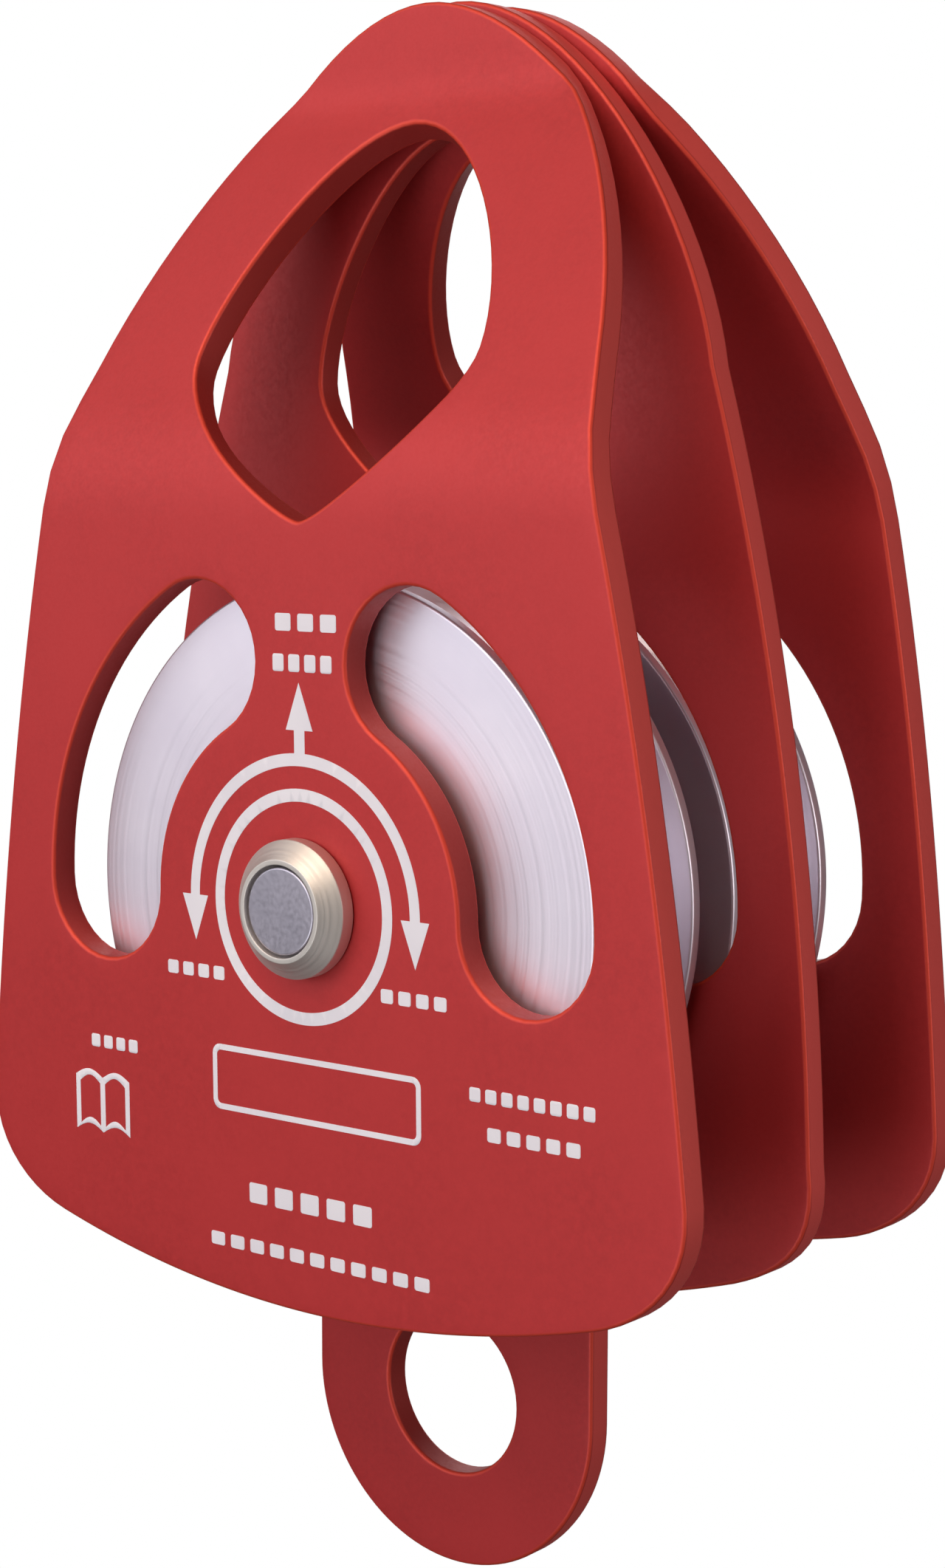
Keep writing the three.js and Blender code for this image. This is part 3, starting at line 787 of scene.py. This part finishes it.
def build_circlip(node, body):
    """An open spring ring with two pierced lugs, its gap at the top."""
    low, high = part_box(node)
    reach, angle = CIRCLIP_INNER_R - LUG_INSET, CIRCLIP_END - LUG_TURN
    x, z = reach * math.cos(angle), reach * math.sin(angle)
    # Where the lug's circle leaves the ring's end, and where it meets the ring's inner edge.
    leave = math.asin(math.sin(LUG_TURN) * reach / LUG_R) + LUG_TURN
    meet = math.acos((CIRCLIP_INNER_R ** 2 - reach ** 2 - LUG_R ** 2) / (2 * reach * LUG_R))
    meet_turn = math.atan2(LUG_R * math.sin(meet), reach + LUG_R * math.cos(meet))
    half = arc(0, 0, CIRCLIP_OUTER_R, -math.pi / 2, CIRCLIP_END, 60)
    half += arc(x, z, LUG_R, angle + leave, angle + 2 * math.pi - meet, 18)
    half += arc(0, 0, CIRCLIP_INNER_R, angle - meet_turn, -math.pi / 2, 54)
    holes = [circle(side * x, z, LUG_HOLE_R, 20) for side in (1, -1)]
    place = flat_place((low.y + high.y) / 2)
    outline = without_repeats(mirrored(half))
    vertices, faces, _ = sheet(outline, holes, high.y - low.y, 0.12 * MM, place, grid=1.5 * MM)
    make_object(f"{node}_spring", vertices, faces, SPRING, body, [node])


# ---- printed marks --------------------------------------------------------------------------------

INK_PROUD = 0.03 * MM
INK_T = 0.06 * MM


def printed(name, outline, holes=()):
    """A thin flat mark on the front plate's outer face, drawn in millimetres from the axle."""
    y = -OUTER_FACE_Y - INK_PROUD + INK_T / 2
    outline = without_repeats(scaled(outline))
    holes = [without_repeats(scaled(hole)) for hole in holes]
    place = flat_place(y, FRONT_SWING)
    vertices, faces, _ = sheet(outline, holes, INK_T, 0.01 * MM, place, grid=40 * MM, steps=1)
    make_object(name, vertices, faces, INK, "front_side_plate")


def bar(x0, z0, x1, z1, rounding):
    """A rounded bar between two corners."""
    quarter = math.pi / 2
    points = []
    for i, (x, z) in enumerate(((x1 - rounding, z1 - rounding), (x0 + rounding, z1 - rounding),
                                (x0 + rounding, z0 + rounding), (x1 - rounding, z0 + rounding))):
        points += arc(x, z, rounding, i * quarter, (i + 1) * quarter, 5)
    return points


def build_marks():
    """Rings and load arrows round the axle, and blank lines and a blank frame for a maker's data."""
    ring_outer, ring_inner = 13.58, 12.1
    printed("print_ring", circle(0, 0, ring_outer, 120), [circle(0, 0, ring_inner, 120)])
    inner, outer = 16.15, 17.6
    middle = (inner + outer) / 2
    head, tip, shaft = 2.05, 5.4, 0.8
    neck = 20.2
    arrow = arc(0, 0, outer, 0, math.pi / 2 - shaft / outer, 40)
    arrow += [(shaft, neck), (head, neck), (0, neck + tip), (-head, neck), (-shaft, neck)]
    arrow += arc(0, 0, outer, math.pi / 2 + shaft / outer, math.pi, 40)
    arrow += [(-middle - head, 0), (-middle, -tip), (-middle + head, 0)]
    arrow += arc(0, 0, inner, math.pi, 0, 70)
    arrow += [(middle - head, 0), (middle, -tip), (middle + head, 0)]
    printed("print_load_arrows", arrow)

    printed("print_blank_panel", bar(-14.5, -25.2, 17.5, -17.4, 1.2), [bar(-13.8, -24.5, 16.8, -18.1, 0.6)])
    build_dashes("print_left_number", -35.4, -26.8, -19.6, 4)
    build_dashes("print_top_line_1", -4.0, 6.3, 32.4, 3, 2.0)
    build_dashes("print_top_line_2", -4.3, 5.4, 27.8, 4, 2.0)
    build_dashes("print_left_value", -22.0, -12.0, -9.0, 4)
    build_dashes("print_right_value", 11.4, 21.7, -8.8, 4)
    build_dashes("print_right_line_1", 24.1, 41.9, -18.2, 8)
    build_dashes("print_right_line_2", 26.5, 40.0, -22.4, 5)
    build_dashes("print_name_line", -9.5, 10.7, -34.5, 5, 2.4)
    build_dashes("print_serial_line", -15.7, 19.0, -40.9, 11)
    build_book()


def build_dashes(name, x0, x1, z, count, height=1.6):
    """A line of blank cells, as placeholders for data, between two places."""
    pitch = (x1 - x0) / count
    length = pitch * 0.7
    for i in range(count):
        left = x0 + (i + 0.5) * pitch - length / 2
        printed(f"{name}_{i + 1}", bar(left, z - height / 2, left + length, z + height / 2, 0.3))


def build_book():
    """An open book, the common sign for reading the instructions."""
    left, right, low, high = -38.0, -28.7, -31.0, -23.3
    middle, stroke, swell = (left + right) / 2, 0.75, 0.9

    def page(side, inset_by):
        edge = middle + side * ((right - left) / 2 - inset_by)
        near = middle + side * inset_by * 0.55
        steps = [k / 10 for k in range(11)]
        top = [(near + (edge - near) * t, high - inset_by - swell * (1 - math.sin(math.pi * t)))
               for t in steps]
        bottom = [(x, z - (high - low) + 2 * inset_by + swell) for x, z in reversed(top)]
        return top + bottom

    for side, place in ((-1, "left"), (1, "right")):
        printed(f"print_book_{place}_page", page(side, 0), [page(side, stroke)])


build_plates()
build_axle()
build_wheel("front", -1)
build_wheel("rear", 1)
build_marks()


# ---- stage, light and camera ----------------------------------------------------------------------

def glowing_floor():
    """A white floor lit from below, like a photographer's light table."""
    nodes = Nodes("pale_floor")
    nodes.set(Roughness=0.8, Emission_Color=(1, 1, 1, 1), Emission_Strength=0.85)
    paper = nodes.fit(nodes.noise(30, 2), 0, 1)
    nodes.link(nodes.mix(paper, (0.85, 0.85, 0.85), (0.82, 0.82, 0.82)), nodes.shader.inputs["Base Color"])
    return nodes.material


def build_stage():
    """A round white floor below the object."""
    radius, below = 0.24, 0.12
    outline = arc(0, 0, radius, 0, 2 * math.pi, 128)[:-1]
    z = cad_low.z - below
    mesh = bpy.data.meshes.new("floor")
    mesh.from_pydata([(x, y, z) for x, y in outline], [], [tuple(range(len(outline)))])
    floor = bpy.data.objects.new("floor", mesh)
    bpy.context.scene.collection.objects.link(floor)
    mesh.materials.append(glowing_floor())
    floor.visible_diffuse = False  # it is only to be seen, and throws no light up into the gaps
    floor.visible_glossy = False


def build_world():
    """White behind the object, but only a dim room as a light."""
    world = bpy.data.worlds.new("studio")
    bpy.context.scene.world = world
    world.use_nodes = True
    tree = world.node_tree
    background = tree.nodes["Background"]
    background.inputs["Color"].default_value = (1, 1, 1, 1)
    background.inputs["Strength"].default_value = 1.0
    room = tree.nodes.new("ShaderNodeBackground")
    room.inputs["Color"].default_value = (1, 0.97, 0.97, 1)
    room.inputs["Strength"].default_value = 0.1
    seen = tree.nodes.new("ShaderNodeLightPath")
    choose = tree.nodes.new("ShaderNodeMixShader")
    tree.links.new(seen.outputs["Is Camera Ray"], choose.inputs[0])
    tree.links.new(room.outputs[0], choose.inputs[1])
    tree.links.new(background.outputs[0], choose.inputs[2])
    tree.links.new(choose.outputs[0], tree.nodes["World Output"].inputs["Surface"])


def soft_light(name, place, size, power, colour=(1, 1, 1)):
    """A square softbox, placed from the axle and turned to it. Metres and watts."""
    data = bpy.data.lights.new(name, "AREA")
    data.shape = "SQUARE"
    data.size = size
    data.energy = power
    data.color = colour
    light = bpy.data.objects.new(name, data)
    bpy.context.scene.collection.objects.link(light)
    axle = Vector((0, 0, AXLE_Z))
    light.location = axle + Vector(place)
    light.rotation_euler = (-Vector(place)).to_track_quat("-Z", "Y").to_euler()


def build_lights():
    warm = (1.0, 0.80, 0.62)
    soft_light("front_left", (-0.55, -0.75, 0.40), 1.0, 4.4, (1.0, 0.97, 1.0))
    soft_light("front", (0.0, -0.95, 0.25), 0.55, 1.7)
    soft_light("front_low", (0.0, -0.85, -0.45), 0.55, 2.3)
    soft_light("front_high", (0.10, -0.55, 0.80), 0.6, 4.9, warm)
    soft_light("right", (1.0, 0.05, 0.10), 0.55, 3.3, (1.0, 0.94, 0.9))
    soft_light("back", (-0.45, 0.90, 0.30), 0.8, 3.2)


def build_camera():
    """Seen from the front and right, a little above, from about a third of a metre."""
    azimuth, elevation, roll = math.radians(39.072), math.radians(7.192), math.radians(-0.186)
    distance, aside, above = 325.5 * MM, 19.65 * MM, 13.49 * MM
    flat = math.cos(elevation)
    back = Vector((math.sin(azimuth) * flat, -math.cos(azimuth) * flat, math.sin(elevation)))
    level = Vector((math.cos(azimuth), math.sin(azimuth), 0))
    upright = back.cross(level)
    right = math.cos(roll) * level - math.sin(roll) * upright
    up = math.cos(roll) * upright + math.sin(roll) * level
    axle_front = Vector((0, -OUTER_FACE_Y, AXLE_Z))
    data = bpy.data.cameras.new("camera")
    data.lens = 65.77  # millimetres
    data.shift_x, data.shift_y = -0.0013, 0.0031
    camera = bpy.data.objects.new("camera", data)
    bpy.context.scene.collection.objects.link(camera)
    camera.location = axle_front + right * aside + up * above + back * distance
    camera.rotation_euler = Matrix((right, up, back)).transposed().to_euler()
    bpy.context.scene.camera = camera


build_stage()
build_world()
build_lights()
build_camera()
bpy.context.scene.view_settings.view_transform = "Standard"
